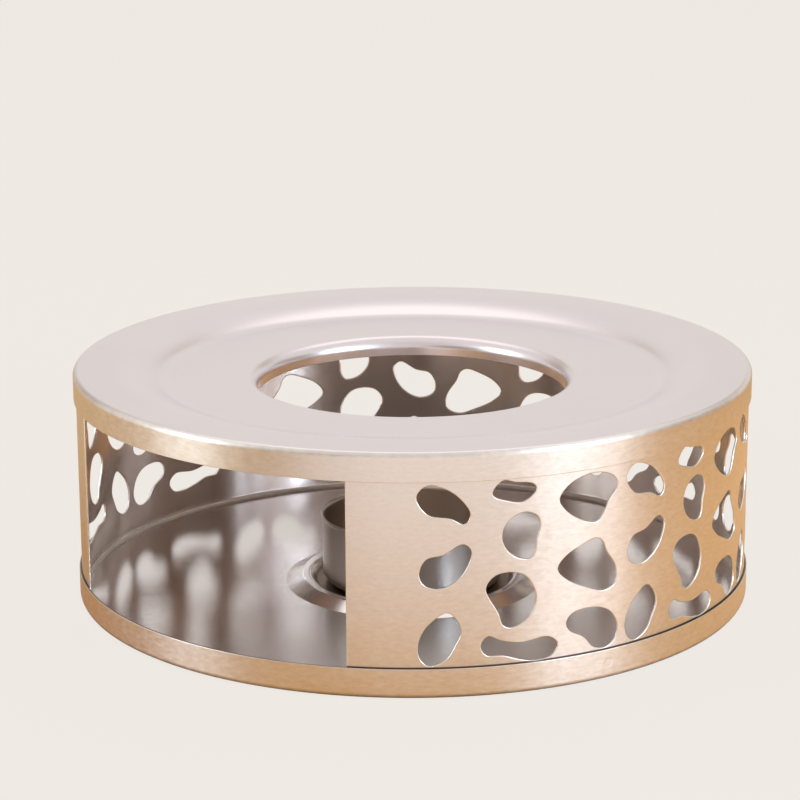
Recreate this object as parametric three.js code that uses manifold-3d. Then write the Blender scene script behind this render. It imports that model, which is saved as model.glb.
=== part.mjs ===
// A round teapot warmer of thin stainless steel sheet, for one tealight.
//
// Millimetres, +Z up. The warmer stands on z = 0 with its axis on the Z axis. -Y is its front.
// Four pieces: a pressed top plate, a punched and rolled side wall with a window for the candle,
// a pressed base tray, and a loose candle cup that lifts out through the hole in the plate.

import * as THREE from 'three';
import { mergeVertices } from 'three/addons/utils/BufferGeometryUtils.js';
import Module from 'manifold-3d';

const wasm = await Module();
wasm.setup();

// Overall sizes
const outerDiameter = 150;
const overallHeight = 51.4;
const sheet = 0.5;

// Clearance between two sheets that touch, and round the cup where it stands in the bead
const fitGap = 0.3;
const cupPlay = 1.5;

// Top plate
const plateSkirt = 6.1;
const plateEdgeRadius = 1.2;
const plateRim = 13.5;
const recessSlope = 6.3;
const recessDepth = 3.2;
const recessEdgeBend = 20;
const recessFloorBend = 7;
const holeDiameter = 68.4;
const lipRadius = 2.8;
const lipStraight = 1.6;

// Side wall: the window is an arc length, and its middle is an angle from the front. The pattern keeps clear
// of the wall's two ends, the start to the right of the window and the end to its left.
const windowWidth = 78.9;
const windowAngle = THREE.MathUtils.degToRad(-40.95);
const plainStart = 13.45;
const plainEnd = 11.8;

// Base tray
const traySkirt = 6.4;
const trayCornerRadius = 1.2;
const beadHeight = 1.6;
const beadInnerSlope = 1.4;
const beadTop = 1.6;
const beadOuterSlope = 3.7;
const beadBend = 1.1;

// Candle cup
const cupDiameter = 40.7;
const cupHeight = 15.2;
const cupCornerRadius = 2.4;
const cupRimFlare = 0.45;
const cupRimBend = 0.9;

// The punched pattern, drawn on a tile that repeats along the strip: each pebble is a smooth closed line
// through a few points, across and up from the tile's lower left corner
const tileWidth = 45;
const tileHeight = 38.9;
const pebbles = {
  comma: [
    [0.7, 35.8], [2.9, 38.1], [6.8, 37.1], [9.8, 34.6], [11.3, 31.9], [10.2, 30.0], [7.6, 31.2], [2.9, 32.2],
  ],
  bean: [
    [1.2, 19.8], [2.6, 22.8], [6.0, 23.7], [9.9, 25.8], [11.5, 24.3], [10.4, 20.5], [7.9, 17.8], [4.8, 16.7],
    [2.0, 17.7],
  ],
  egg: [
    [0.9, 4.4], [1.9, 7.6], [4.2, 10.2], [6.6, 11.6], [8.3, 10.4], [9.5, 7.4], [8.4, 4.8], [6.6, 1.9],
    [3.2, 0.5], [1.4, 1.9],
  ],
  sliver: [
    [15.8, 36.2], [17.9, 38.5], [20.4, 38.0], [24.2, 37.3], [24.8, 36.2], [22.1, 33.9], [18.6, 34.4],
    [16.2, 35.3],
  ],
  shell: [
    [17.8, 26.8], [18.8, 29.8], [22.2, 31.6], [25.0, 30.6], [25.7, 28.5], [24.9, 25.8], [24.7, 23.5],
    [23.7, 22.0], [21.1, 22.3], [18.9, 24.0],
  ],
  mitten: [
    [14.5, 16.3], [16.2, 18.7], [19.8, 19.3], [22.7, 18.2], [24.9, 13.8], [23.6, 9.9], [20.0, 7.7],
    [18.1, 8.3], [17.1, 11.0], [15.3, 14.1],
  ],
  banana: [
    [13.5, 4.3], [14.9, 6.2], [17.5, 5.1], [21.7, 4.3], [27.7, 4.8], [29.7, 3.0], [28.3, 0.8], [25.0, 0.2],
    [21.6, 0.8], [18.2, 1.9], [14.5, 2.3],
  ],
  leaf: [
    [29.9, 33.5], [32.3, 36.4], [37.4, 37.9], [42.0, 36.8], [43.4, 34.6], [41.2, 31.8], [40.1, 29.5],
    [38.4, 27.7], [34.2, 28.9], [31.0, 31.4],
  ],
  wedge: [
    [29.6, 18.9], [31.2, 21.2], [34.8, 23.1], [38.4, 24.1], [39.9, 23.2], [40.7, 21.2], [43.1, 17.4],
    [43.2, 14.1], [40.3, 12.8], [36.2, 14.1], [31.6, 16.5],
  ],
  kidney: [
    [31.6, 7.1], [33.0, 9.0], [39.0, 9.3], [42.4, 7.4], [43.9, 3.8], [42.6, 1.3], [40.2, 0.4], [37.8, 1.2],
    [35.8, 3.5], [32.5, 5.4],
  ],
};

// Fineness of the faceted surfaces
const turnSegments = 60;
const cupSegments = 40;
const bendStep = THREE.MathUtils.degToRad(30);
const pebbleEdge = 2.6;

// Sizes that follow from those above
const outerRadius = outerDiameter / 2;
const holeRadius = holeDiameter / 2;
const cupRadius = cupDiameter / 2;
const wallOuterRadius = outerRadius - sheet - fitGap;
const wallInnerRadius = wallOuterRadius - sheet;
const wallMiddleRadius = wallOuterRadius - sheet / 2;
const wallBottom = trayCornerRadius;
const wallTop = overallHeight - plateEdgeRadius;
const plateSkirtBottom = overallHeight - plateSkirt;
const recessFloor = overallHeight - recessDepth;
const beadInnerRadius = cupRadius + cupPlay;
const cupBottom = sheet + fitGap;
const cupTop = cupBottom + cupHeight;

// The points of a round bend between two straight runs of a profile
function bendPoints(before, corner, after, radius) {
  const arriving = corner.clone().sub(before).normalize();
  const leaving = after.clone().sub(corner).normalize();
  const turn = Math.atan2(arriving.cross(leaving), arriving.dot(leaving));
  const reach = radius * Math.tan(Math.abs(turn) / 2);
  const start = corner.clone().addScaledVector(arriving, -reach);
  const side = new THREE.Vector2(-arriving.y, arriving.x);
  const centre = start.clone().addScaledVector(side, Math.sign(turn) * radius);
  const steps = Math.ceil(Math.abs(turn) / bendStep);
  return Array.from({ length: steps + 1 }, (_, i) => start.clone().rotateAround(centre, (turn * i) / steps));
}

// Where two lines cross, each given by a point and a direction
function crossing(pointA, directionA, pointB, directionB) {
  const along = pointB.clone().sub(pointA).cross(directionB) / directionA.cross(directionB);
  return pointA.clone().addScaledVector(directionA, along);
}

// One face of a bent sheet, moved to its left by an offset. Each corner is [radius, height, bend radius],
// and the bend radius is the one on the face that isn't moved.
function bentFace(corners, offset) {
  const points = corners.map(([r, z]) => new THREE.Vector2(r, z));
  const runs = points.slice(1).map((point, i) => point.clone().sub(points[i]).normalize());
  const shifts = runs.map((run) => new THREE.Vector2(-run.y, run.x).multiplyScalar(offset));
  const last = points.length - 1;
  const moved = points.map((point, i) => {
    if (i === 0) return point.clone().add(shifts[0]);
    if (i === last) return point.clone().add(shifts[last - 1]);
    return crossing(point.clone().add(shifts[i - 1]), runs[i - 1], point.clone().add(shifts[i]), runs[i]);
  });
  return moved.flatMap((point, i) => {
    if (i === 0 || i === last) return [point];
    const turnsLeft = Math.sign(runs[i - 1].cross(runs[i]));
    return bendPoints(moved[i - 1], point, moved[i + 1], corners[i][2] - turnsLeft * offset);
  });
}

// A closed outline round a bent sheet: out along one face and back along the other
function sheetOutline(corners) {
  return [...bentFace(corners, 0), ...bentFace(corners, sheet).reverse()];
}

// A profile turned round the Z axis
function turned(profile, segments) {
  return new THREE.LatheGeometry(profile, segments).rotateX(Math.PI / 2);
}

function solidFrom(geometry) {
  const bare = geometry.clone();
  bare.deleteAttribute('normal');
  bare.deleteAttribute('uv');
  const welded = mergeVertices(bare);
  const vertProperties = new Float32Array(welded.attributes.position.array);
  const triVerts = new Uint32Array(welded.index.array);
  return new wasm.Manifold(new wasm.Mesh({ numProp: 3, vertProperties, triVerts }));
}

function geometryFrom(solid) {
  const { vertProperties, triVerts } = solid.getMesh();
  const geometry = new THREE.BufferGeometry();
  geometry.setAttribute('position', new THREE.BufferAttribute(vertProperties, 3));
  geometry.setIndex(new THREE.BufferAttribute(triVerts, 1));
  geometry.computeVertexNormals();
  return geometry;
}

// Flat ring, turned-down skirt, shallow recess and a hole with its edge rolled downwards
function topPlateGeometry() {
  const recessEdge = outerRadius - plateRim;
  const outline = sheetOutline([
    [outerRadius, plateSkirtBottom],
    [outerRadius, overallHeight, plateEdgeRadius],
    [recessEdge, overallHeight, recessEdgeBend],
    [recessEdge - recessSlope, recessFloor, recessFloorBend],
    [holeRadius, recessFloor, lipRadius],
    [holeRadius, recessFloor - lipRadius - lipStraight],
  ]);
  return turned([...outline, outline[0]], turnSegments);
}

// Flat floor with a pressed bead round the cup's place and an upturned skirt
function baseTrayGeometry() {
  const beadTopStart = beadInnerRadius + beadInnerSlope;
  const beadTopEnd = beadTopStart + beadTop;
  const outline = sheetOutline([
    [0, 0],
    [beadInnerRadius, 0, beadBend],
    [beadTopStart, beadHeight, beadBend],
    [beadTopEnd, beadHeight, beadBend],
    [beadTopEnd + beadOuterSlope, 0, beadBend],
    [outerRadius, 0, trayCornerRadius],
    [outerRadius, traySkirt],
  ]);
  return turned(outline, turnSegments);
}

// Drawn cup with a round bottom corner and a small flared rim
function candleCupGeometry() {
  const outline = sheetOutline([
    [0, cupBottom],
    [cupRadius, cupBottom, cupCornerRadius],
    [cupRadius, cupTop - cupRimFlare, cupRimBend],
    [cupRadius + cupRimFlare, cupTop],
  ]);
  return turned(outline, cupSegments);
}

// A closed smooth outline through a pebble's points
function pebbleOutline(points) {
  const knots = points.map(([u, v]) => new THREE.Vector3(u, v, 0));
  const curve = new THREE.CatmullRomCurve3(knots, true);
  const edges = Math.round(curve.getLength() / pebbleEdge);
  return curve.getSpacedPoints(edges).slice(0, -1);
}

// A punch through the wall: the pebble's outline, bulging out along the wall's radius at its own middle
function punchSolid(outline, angle) {
  const overshoot = 3;
  const punch = new THREE.ExtrudeGeometry(new THREE.Shape(outline), {
    depth: sheet + 2 * overshoot,
    bevelEnabled: false,
  });
  const radial = new THREE.Vector3(Math.cos(angle), Math.sin(angle), 0);
  const tangent = new THREE.Vector3(-Math.sin(angle), Math.cos(angle), 0);
  const place = new THREE.Matrix4().makeBasis(tangent, new THREE.Vector3(0, 0, 1), radial);
  place.setPosition(radial.multiplyScalar(wallInnerRadius - overshoot));
  return solidFrom(punch.applyMatrix4(place));
}

// A strip rolled into a C, punched with whole tiles of the pattern between two plain ends
function sideWallGeometry() {
  const front = -Math.PI / 2;
  const halfWindow = windowWidth / 2 / wallMiddleRadius;
  const startAngle = front + windowAngle + halfWindow;
  const endAngle = front + windowAngle - halfWindow + 2 * Math.PI;
  const strip = new THREE.Shape();
  strip.absarc(0, 0, wallOuterRadius, startAngle, endAngle, false);
  strip.absarc(0, 0, wallInnerRadius, endAngle, startAngle, true);
  const band = new THREE.ExtrudeGeometry(strip, {
    depth: wallTop - wallBottom,
    bevelEnabled: false,
    curveSegments: turnSegments / 2,
  }).translate(0, 0, wallBottom);

  const patternLength = (endAngle - startAngle) * wallMiddleRadius - plainStart - plainEnd;
  const tiles = Math.round(patternLength / tileWidth);
  const pitch = patternLength / tiles;
  const stretchAlong = pitch / tileWidth;
  const stretchUp = (plateSkirtBottom - traySkirt) / tileHeight;

  let wall = solidFrom(band);
  for (const points of Object.values(pebbles)) {
    const middle = (Math.min(...points.map(([u]) => u)) + Math.max(...points.map(([u]) => u))) / 2;
    const outline = pebbleOutline(points).map(
      ({ x, y }) => new THREE.Vector2((x - middle) * stretchAlong, traySkirt + y * stretchUp),
    );
    for (let tile = 0; tile < tiles; tile += 1) {
      const along = plainStart + tile * pitch + middle * stretchAlong;
      wall = wall.subtract(punchSolid(outline, startAngle + along / wallMiddleRadius));
    }
  }
  return geometryFrom(wall);
}

function piece(name, geometry, color, roughness) {
  const mesh = new THREE.Mesh(geometry, new THREE.MeshStandardMaterial({ color, roughness, metalness: 1 }));
  mesh.name = name;
  return mesh;
}

const warmer = new THREE.Group();
warmer.add(piece('top_plate', topPlateGeometry(), 0xddd3d3, 0.4));
warmer.add(piece('side_wall', sideWallGeometry(), 0xcdb49b, 0.35));
warmer.add(piece('base_tray', baseTrayGeometry(), 0xc8a57d, 0.3));
warmer.add(piece('candle_cup', candleCupGeometry(), 0x8c847e, 0.3));

export default warmer;
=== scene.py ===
# %% [markdown]
# # A stainless steel teapot warmer
# A teapot stands on the warmer's plate while one tealight burns in a small cup below it. The whole
# thing is thin steel sheet: a pressed plate, a wall that was punched flat and then rolled, a
# pressed tray, and a drawn cup that lifts out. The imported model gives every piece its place, so
# this lesson makes finer pieces of the same sizes around it, finishes the steel, and lights it.

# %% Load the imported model
import math

import bmesh
import bpy
import numpy as np
from mathutils import Matrix, Vector


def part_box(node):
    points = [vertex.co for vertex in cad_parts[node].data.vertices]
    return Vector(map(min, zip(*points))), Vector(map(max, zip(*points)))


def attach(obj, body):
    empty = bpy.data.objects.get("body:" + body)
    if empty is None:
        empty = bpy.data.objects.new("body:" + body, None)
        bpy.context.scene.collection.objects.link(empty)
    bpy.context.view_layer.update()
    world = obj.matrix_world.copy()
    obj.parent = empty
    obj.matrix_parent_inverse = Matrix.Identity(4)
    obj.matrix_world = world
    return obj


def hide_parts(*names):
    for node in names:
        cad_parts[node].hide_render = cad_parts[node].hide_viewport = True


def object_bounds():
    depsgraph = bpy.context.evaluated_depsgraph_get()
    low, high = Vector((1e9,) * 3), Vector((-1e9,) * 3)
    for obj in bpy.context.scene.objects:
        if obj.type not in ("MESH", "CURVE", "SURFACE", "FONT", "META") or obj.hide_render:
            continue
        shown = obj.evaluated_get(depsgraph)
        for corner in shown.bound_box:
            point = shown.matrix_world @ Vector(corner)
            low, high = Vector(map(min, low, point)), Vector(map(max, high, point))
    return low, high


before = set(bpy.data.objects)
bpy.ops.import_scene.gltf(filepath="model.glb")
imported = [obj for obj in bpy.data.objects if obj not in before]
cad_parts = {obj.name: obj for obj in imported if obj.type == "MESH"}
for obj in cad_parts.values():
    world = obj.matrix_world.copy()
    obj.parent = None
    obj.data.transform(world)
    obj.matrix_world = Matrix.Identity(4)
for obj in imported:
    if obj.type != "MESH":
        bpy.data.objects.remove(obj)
cad_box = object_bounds()

# %% [markdown]
# ## The camera
# The camera comes first, because every later choice is judged through it. A long lens stands a
# little above the plate, in front of the warmer. A constraint could aim it at the warmer, but the
# lens axis has to pass a little above and to the right of the warmer's middle, so small turns of
# the camera are set instead.

# %% Camera
MM = 0.001
CAMERA_DISTANCE = 610.3 * MM
CAMERA_ELEVATION = math.radians(16.5)
CAMERA_YAW = math.radians(0.268)
CAMERA_PITCH = math.radians(1.488)
CAMERA_ROLL = math.radians(-0.281)
CAMERA_LENS = 122.2

middle = (cad_box[0] + cad_box[1]) / 2
camera = bpy.data.objects.new("camera", bpy.data.cameras.new("camera"))
camera.data.lens = CAMERA_LENS
away = Vector((0, -math.cos(CAMERA_ELEVATION), math.sin(CAMERA_ELEVATION)))
turn = Matrix.Rotation(CAMERA_YAW, 4, "Z")
turn = turn @ Matrix.Rotation(math.pi / 2 - CAMERA_ELEVATION + CAMERA_PITCH, 4, "X")
turn = turn @ Matrix.Rotation(CAMERA_ROLL, 4, "Z")
camera.matrix_world = Matrix.Translation(middle + away * CAMERA_DISTANCE) @ turn
bpy.context.scene.collection.objects.link(camera)
bpy.context.scene.camera = camera
bpy.context.scene.view_settings.view_transform = "Standard"
print("camera at", tuple(round(v, 4) for v in camera.location))

# %% [markdown]
# ## Bent sheet
# All four pieces are sheet, so one description serves the three round ones: a line of corners along
# one face, each with its bend radius. The other face is the same line moved by the sheet's
# thickness, with every bend larger or smaller by that thickness. A Solidify modifier could add the
# thickness, but it doesn't keep the radius of each bend. The cut edges get a very small round,
# because a sharp edge never catches the light. The exact normal of each point is kept, so that flat
# areas stay flat in reflections.

# %% Outline of a bent sheet
SHEET = 0.5 * MM
CUT_EDGE = 0.14 * MM
BEND_STEP = math.radians(9)
TOLERANCE = 1e-9


def offset_corners(corners, offset):
    """The corners moved to the left of their line, each with its bend radius there."""
    points = [Vector(corner[:2]) for corner in corners]
    runs = [(b - a).normalized() for a, b in zip(points, points[1:])]
    sides = [Vector((-run.y, run.x)) * offset for run in runs]
    moved = [(points[0] + sides[0], corners[0][2])]
    for i in range(1, len(points) - 1):
        across = runs[i - 1].cross(runs[i])
        along = (points[i] + sides[i] - points[i] - sides[i - 1]).cross(runs[i]) / across
        bend = corners[i][2] - math.copysign(offset, across)
        moved.append((points[i] + sides[i - 1] + runs[i - 1] * along, bend))
    moved.append((points[-1] + sides[-1], corners[-1][2]))
    return moved


def bend_points(before, corner, after, radius):
    """Points of the round bend at one corner, with normals to the right of the line."""
    arriving = (corner - before).normalized()
    leaving = (after - corner).normalized()
    angle = math.atan2(arriving.cross(leaving), arriving.dot(leaving))
    start = corner - arriving * radius * math.tan(abs(angle) / 2)
    right = Vector((arriving.y, -arriving.x))
    centre = start - right * math.copysign(radius, angle)
    steps = max(1, math.ceil(abs(angle) / BEND_STEP))
    points = []
    for i in range(steps + 1):
        spin = Matrix.Rotation(angle * i / steps, 2)
        points.append((centre + spin @ (start - centre), spin @ right))
    return points


def sheet_outline(corners):
    """The closed outline round a bent sheet, as points and normals. It may start on the axis."""
    loop = offset_corners(corners, 0) + offset_corners(corners, SHEET)[::-1]
    outline = []
    for i, (corner, bend) in enumerate(loop):
        if corner.x < TOLERANCE:
            outline.append((corner, Vector((0, -1 if i == 0 else 1))))
        else:
            outline += bend_points(loop[i - 1][0], corner, loop[(i + 1) % len(loop)][0], bend)
    return outline


def with_rows(outline, radius, spacing):
    """Adds rows of points along the upright run at a radius, where small dents need them."""
    rows = []
    for (a, normal_a), (b, normal_b) in zip(outline, outline[1:] + outline[:1]):
        upright = abs(a.x - radius) < TOLERANCE and abs(b.x - radius) < TOLERANCE
        count = math.ceil((a - b).length / spacing) if upright else 1
        for i in range(count):
            rows.append((a.lerp(b, i / count), normal_a.lerp(normal_b, i / count)))
    return rows


square_bend = bend_points(Vector((0, 0)), Vector((1, 0)), Vector((1, 1)), SHEET)
print("a square bend has", len(square_bend), "points")

# %% [markdown]
# ## Turning an outline round the axis
# A pressing is round, so its outline is swept round the Z axis. Blender's Screw modifier could do
# it, but then the exact normals would be lost. Writing the rings of points directly keeps them, and
# it lets small dents be pressed in on the way: the marks that spot welding leaves on both skirts.

# %% Weld dents
DENT_FLOOR = 0.75 * MM
DENT_EDGE = 1.25 * MM
DENT_DEPTH = 0.03 * MM
DENT_STEP = 0.2 * MM
DENT_MARGIN = 1.1 * DENT_EDGE
ON_SKIRT = 1e-7


def press_dents(points, normals, radius, dents):
    """Presses round dents into a skirt, each given by its angle from the front and its height."""
    angle = np.arctan2(points[:, 0], -points[:, 1])
    radial = np.stack([np.sin(angle), -np.cos(angle), np.zeros_like(angle)], 1)
    tangent = np.stack([np.cos(angle), np.sin(angle), np.zeros_like(angle)], 1)
    on_skirt = np.abs(np.hypot(points[:, 0], points[:, 1]) - radius) < ON_SKIRT
    for dent_angle, dent_height in dents:
        along = np.angle(np.exp(1j * (angle - dent_angle))) * radius
        up = points[:, 2] - dent_height
        reach = np.maximum(np.hypot(along, up), TOLERANCE)
        edge = np.clip((reach - DENT_FLOOR) / (DENT_EDGE - DENT_FLOOR), 0, 1)
        depth = DENT_DEPTH * (1 - edge**2 * (3 - 2 * edge)) * on_skirt
        slope = DENT_DEPTH * 6 * edge * (1 - edge) / (DENT_EDGE - DENT_FLOOR) * on_skirt / reach
        points = points - radial * depth[:, None]
        normals = normals - tangent * (slope * along)[:, None]
        normals[:, 2] -= slope * up
    return points, normals / np.linalg.norm(normals, axis=1)[:, None]


def turn_angles(segments, dents, radius):
    """Even angles round the axis, with more of them next to each dent."""
    angles = list(np.linspace(0, 2 * math.pi, segments, endpoint=False))
    for dent_angle, _ in dents:
        offsets = np.arange(-DENT_MARGIN, DENT_MARGIN, DENT_STEP) / radius
        angles += list((dent_angle - math.pi / 2 + offsets) % (2 * math.pi))
    return np.unique(np.round(angles, 5))


print("weld dents", 2 * DENT_EDGE / MM, "mm across and", DENT_DEPTH / MM, "mm deep")

# %% Turned pieces


def turned_mesh(name, outline, segments, dents=(), radius=0.0):
    """An outline turned round the Z axis, with one point where it meets the axis."""
    angles = turn_angles(segments, dents, radius)
    segments = len(angles)
    points, normals, rings = [], [], []
    for point, normal in outline:
        count = 1 if point.x < TOLERANCE else segments
        first = len(points)
        for angle in angles[:count]:
            facing = (math.cos(angle), math.sin(angle))
            points.append((point.x * facing[0], point.x * facing[1], point.y))
            normals.append((normal.x * facing[0], normal.x * facing[1], normal.y))
        rings.append([first + i % count for i in range(segments)])
    faces = []
    closed = outline[0][0].x > TOLERANCE
    for a, b in zip(rings, rings[1:] + rings[:1] if closed else rings[1:]):
        for i in range(segments):
            j = (i + 1) % segments
            corners = dict.fromkeys((a[i], a[j], b[j], b[i]))
            faces.append(list(corners))
    points, normals = press_dents(np.array(points), np.array(normals), radius, dents)
    mesh = bpy.data.meshes.new(name)
    mesh.from_pydata(points.tolist(), [], faces)
    mesh.shade_smooth()
    mesh.normals_split_custom_set_from_vertices(normals.tolist())
    return mesh


def add_piece(name, mesh, body, node):
    """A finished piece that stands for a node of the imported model."""
    piece = bpy.data.objects.new(name, mesh)
    bpy.context.scene.collection.objects.link(piece)
    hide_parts(node)
    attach(piece, body)
    print(name, len(mesh.vertices), "vertices", len(mesh.polygons), "faces")
    return piece


# %% [markdown]
# ## The top plate
# One pressing: a flat ring for the teapot, a skirt turned down over the wall, a shallow recess, and
# a hole with its edge rolled down so that nothing scratches. It could be shaped from a cylinder by
# hand, but as an outline of six corners every bend stays a number. The spot welds that hold the
# wall have left small round dents on the skirt.

# %% Top plate
OUTER_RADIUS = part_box("top_plate")[1].x
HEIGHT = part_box("top_plate")[1].z
PLATE_SKIRT = 6.1 * MM
PLATE_EDGE = 1.2 * MM
RECESS_EDGE = OUTER_RADIUS - 13.5 * MM
RECESS_SLOPE = 6.3 * MM
RECESS_DEPTH = 3.2 * MM
RECESS_EDGE_BEND = 20.0 * MM
RECESS_FLOOR_BEND = 7.0 * MM
HOLE_RADIUS = 34.2 * MM
LIP_RADIUS = 2.8 * MM
LIP_STRAIGHT = 1.6 * MM
TURN_SEGMENTS = 360
WELD_ON_SKIRT = 0.55
PLATE_WELDS = (-2, 47, 96, 145, 194, 243)

recess_floor = HEIGHT - RECESS_DEPTH
plate_outline = sheet_outline([
    (OUTER_RADIUS, HEIGHT - PLATE_SKIRT, CUT_EDGE),
    (OUTER_RADIUS, HEIGHT, PLATE_EDGE),
    (RECESS_EDGE, HEIGHT, RECESS_EDGE_BEND),
    (RECESS_EDGE - RECESS_SLOPE, recess_floor, RECESS_FLOOR_BEND),
    (HOLE_RADIUS, recess_floor, LIP_RADIUS),
    (HOLE_RADIUS, recess_floor - LIP_RADIUS - LIP_STRAIGHT, CUT_EDGE),
])
weld_height = HEIGHT - WELD_ON_SKIRT * PLATE_SKIRT
plate_dents = [(math.radians(angle), weld_height) for angle in PLATE_WELDS]
plate_rows = with_rows(plate_outline, OUTER_RADIUS, DENT_STEP)
plate_mesh = turned_mesh("top_plate_pressing", plate_rows, TURN_SEGMENTS, plate_dents, OUTER_RADIUS)
plate = add_piece("top_plate_pressing", plate_mesh, "shell", "top_plate")

# %% [markdown]
# ## The base tray
# The tray is the plate's partner: a flat floor with its skirt turned up round the wall. A low bead,
# a ring pressed up in the floor, keeps the candle cup in the middle. The bead is part of the same
# outline, so it needs no separate ring.

# %% Base tray
TRAY_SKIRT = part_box("base_tray")[1].z
TRAY_CORNER = 1.2 * MM
CUP_RADIUS = 20.35 * MM
CUP_PLAY = 1.5 * MM
BEAD_HEIGHT = 1.6 * MM
BEAD_INNER_SLOPE = 1.4 * MM
BEAD_TOP = 1.6 * MM
BEAD_OUTER_SLOPE = 3.7 * MM
BEAD_BEND = 1.1 * MM
TRAY_WELDS = (-5, 32, 81, 130, 179, 228)

bead_radius = CUP_RADIUS + CUP_PLAY
bead_top_start = bead_radius + BEAD_INNER_SLOPE
bead_top_end = bead_top_start + BEAD_TOP
tray_outline = sheet_outline([
    (0, 0, 0),
    (bead_radius, 0, BEAD_BEND),
    (bead_top_start, BEAD_HEIGHT, BEAD_BEND),
    (bead_top_end, BEAD_HEIGHT, BEAD_BEND),
    (bead_top_end + BEAD_OUTER_SLOPE, 0, BEAD_BEND),
    (OUTER_RADIUS, 0, TRAY_CORNER),
    (OUTER_RADIUS, TRAY_SKIRT, CUT_EDGE),
])
weld_height = WELD_ON_SKIRT * TRAY_SKIRT
tray_dents = [(math.radians(angle), weld_height) for angle in TRAY_WELDS]
tray_rows = with_rows(tray_outline, OUTER_RADIUS, DENT_STEP)
tray_mesh = turned_mesh("base_tray_pressing", tray_rows, TURN_SEGMENTS, tray_dents, OUTER_RADIUS)
tray = add_piece("base_tray_pressing", tray_mesh, "shell", "base_tray")

# %% [markdown]
# ## The candle cup
# A small cup, drawn from the same sheet, with a rim flared by less than half a millimetre. Four
# corners are enough for its outline. It rides on its own body, because it lifts out through the
# hole.

# %% Candle cup
CUP_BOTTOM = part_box("candle_cup")[0].z
CUP_HEIGHT = 15.2 * MM
CUP_CORNER = 2.4 * MM
CUP_FLARE = 0.45 * MM
CUP_FLARE_BEND = 0.9 * MM
CUP_SEGMENTS = 240

cup_top = CUP_BOTTOM + CUP_HEIGHT
cup_outline = sheet_outline([
    (0, CUP_BOTTOM, 0),
    (CUP_RADIUS, CUP_BOTTOM, CUP_CORNER),
    (CUP_RADIUS, cup_top - CUP_FLARE, CUP_FLARE_BEND),
    (CUP_RADIUS + CUP_FLARE, cup_top, CUT_EDGE),
])
cup_mesh = turned_mesh("candle_cup_drawn", cup_outline, CUP_SEGMENTS)
cup = add_piece("candle_cup_drawn", cup_mesh, "cup", "candle_cup")

# %% [markdown]
# ## Node trees as sums
# Both the wall's Geometry Nodes and the steel's shaders need arithmetic. Math nodes could be linked
# one by one, but then the sum can't be read any more. So a small class wraps an output socket and
# turns Python's operators into Math nodes. Every other node is added by one method: its type, its
# settings, and the values or links of its inputs.

# %% A node tree that reads as a formula


class Value:
    """One output socket, on which arithmetic adds Math nodes."""

    def __init__(self, graph, socket):
        self.graph = graph
        self.socket = socket

    def maths(self, operation, first, second):
        return self.graph.node("ShaderNodeMath", {"operation": operation}, {0: first, 1: second})

    def __add__(self, other):
        return self.maths("ADD", self, other)

    def __radd__(self, other):
        return self.maths("ADD", other, self)

    def __sub__(self, other):
        return self.maths("SUBTRACT", self, other)

    def __rsub__(self, other):
        return self.maths("SUBTRACT", other, self)

    def __mul__(self, other):
        return self.maths("MULTIPLY", self, other)

    def __rmul__(self, other):
        return self.maths("MULTIPLY", other, self)

    def __truediv__(self, other):
        return self.maths("DIVIDE", self, other)

    def __rtruediv__(self, other):
        return self.maths("DIVIDE", other, self)


class Graph:
    """A node tree that is filled by one method."""

    def __init__(self, tree):
        self.tree = tree
        self.tree.nodes.clear()

    def node(self, kind, settings=None, inputs=None, output=0):
        """Adds a node and returns the output that is asked for."""
        made = self.tree.nodes.new(kind)
        for key, setting in (settings or {}).items():
            if key == "stops":
                self.set_stops(made.color_ramp, setting)
            else:
                setattr(made, key, setting)
        for key, given in (inputs or {}).items():
            if isinstance(given, Value):
                self.tree.links.new(given.socket, made.inputs[key])
            else:
                made.inputs[key].default_value = given
        return Value(self, made.outputs[output]) if made.outputs else made

    def set_stops(self, ramp, stops):
        """Gives a colour ramp its stops, with soft changes between them."""
        while len(ramp.elements) < len(stops):
            ramp.elements.new(1.0)
        ramp.interpolation = "EASE"
        for element, (position, colour) in zip(ramp.elements, stops):
            element.position = position
            element.color = (*colour, 1.0)


trial = Graph(bpy.data.node_groups.new("trial", "ShaderNodeTree"))
last_node = (1 - trial.node("ShaderNodeValue") * 2).socket.node
print("1 - value * 2 makes", len(trial.tree.nodes), "nodes and ends in", last_node.operation)
bpy.data.node_groups.remove(trial.tree)

# %% [markdown]
# ## The side wall: the flat blank
# The real wall is punched while it is a flat strip, and rolled afterwards. Holes could be cut in a
# round wall too, but on a flat one their pattern simply repeats, so the lesson does as the maker
# does. The blank is a grid of small faces on both sides of the sheet, so that it can bend smoothly,
# with slightly rounded edges all round. It lies along X, with Y going into the sheet and Z up. The
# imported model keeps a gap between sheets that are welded. Here they all but touch, as on the real
# warmer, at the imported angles. The wall's foot gets more rows, because it will be bent in over the
# tray's floor.

# %% Flat blank of the wall
FIT_GAP = 0.3 * MM
WELD_GAP = 0.03 * MM
WINDOW_WIDTH = 78.9 * MM
WINDOW_ANGLE = math.radians(-40.95)
PLAIN_START = 13.45 * MM
PLAIN_END = 11.8 * MM
BLANK_CELL = 1.15 * MM
EDGE_ROUND = 0.24 * MM
FOOT_BEND = 1.0 * MM
FOOT_GAP = 0.02 * MM
FOOT_ROWS = 10
FOOT_THINNING = 0.9
EDGE_ANGLES = np.radians([0, 30, 60])

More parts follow.
